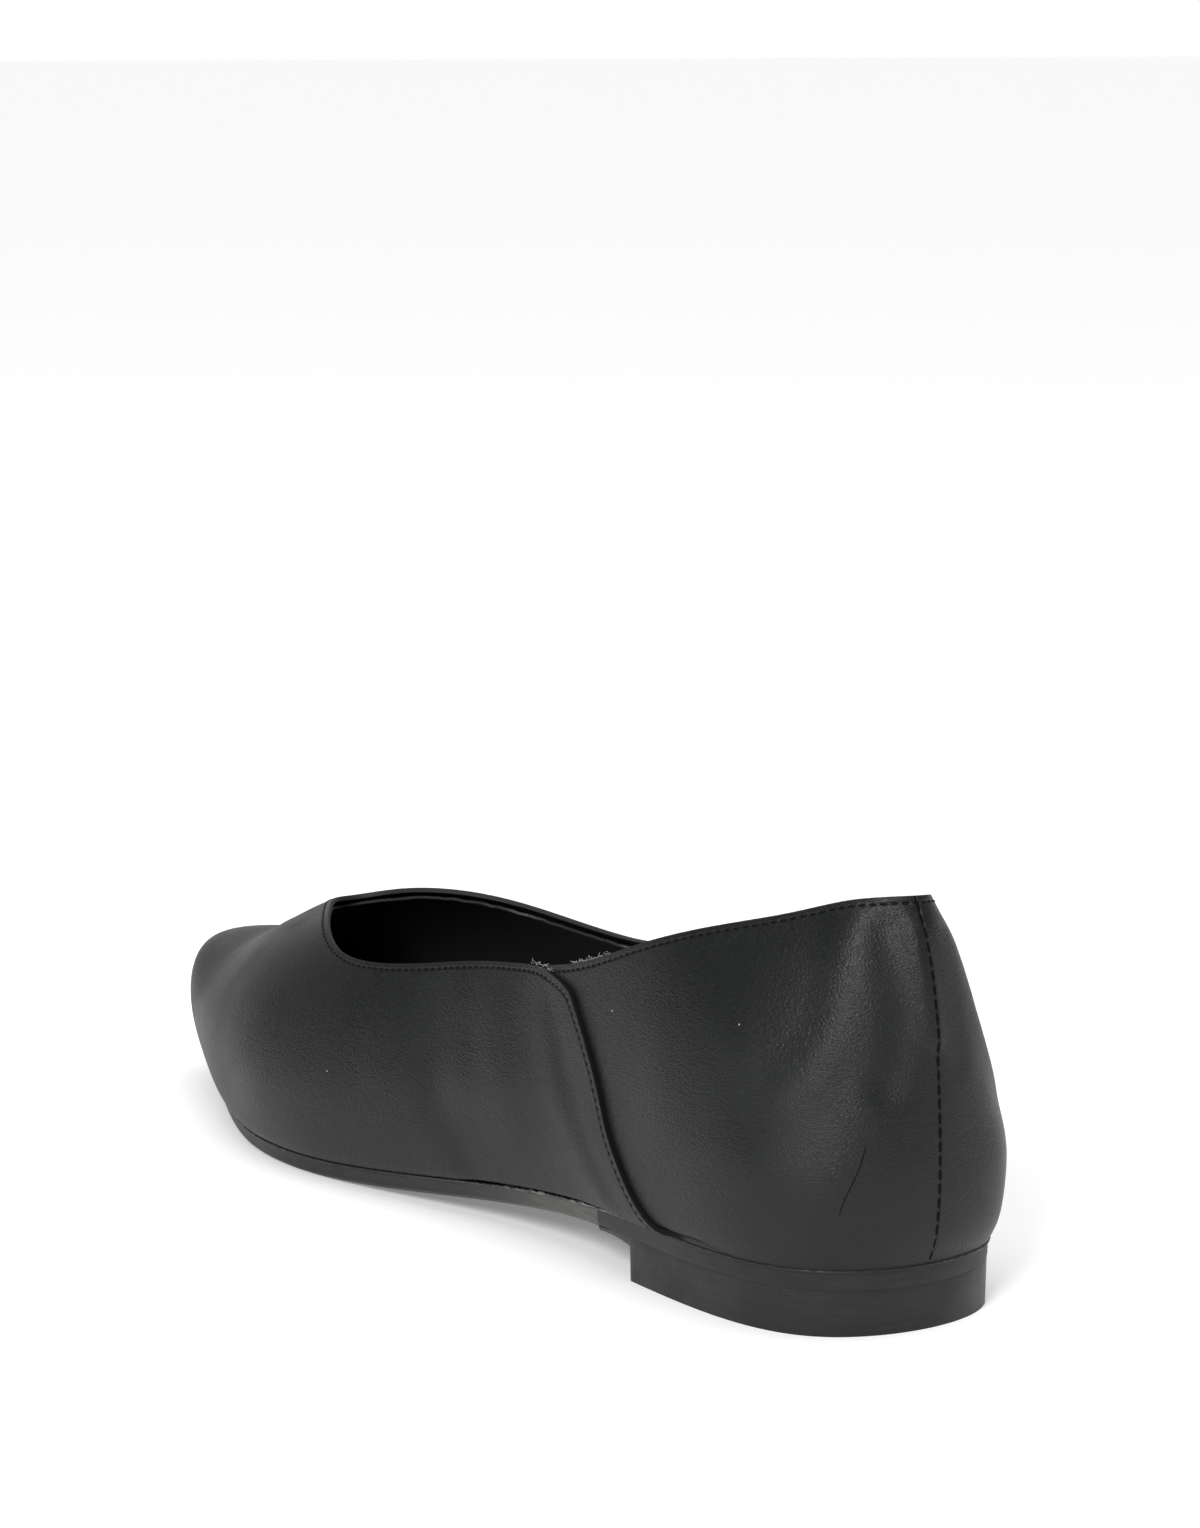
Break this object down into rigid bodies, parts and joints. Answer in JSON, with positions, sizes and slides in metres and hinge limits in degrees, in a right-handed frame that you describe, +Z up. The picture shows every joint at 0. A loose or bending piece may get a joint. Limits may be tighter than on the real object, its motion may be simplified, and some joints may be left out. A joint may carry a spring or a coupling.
{
  "type": "ballet flat",
  "caption": "Black leather ballet flat for the left foot: pointed toe, low-cut vamp lapped over the quarter with a curved edge, thin sole and low heel.",
  "frame": {"origin": "on the floor, under the middle of the shoe's bounding box", "axes": "+Z up, +Y towards the toe, +X towards the inner side of the foot"},
  "size_m": [0.0772, 0.2564, 0.0761],
  "materials": {
    "upper_leather": "soft matte black calf with a fine grain",
    "insole_leather": "matte black lining leather",
    "sole_edge": "satin dark grey sole edge",
    "heel_block": "satin black heel"
  },
  "bodies": {
    "root": {"upper": "upper_leather", "insole": "insole_leather", "outsole": "sole_edge", "heel": "heel_block"}
  },
  "joints": []
}
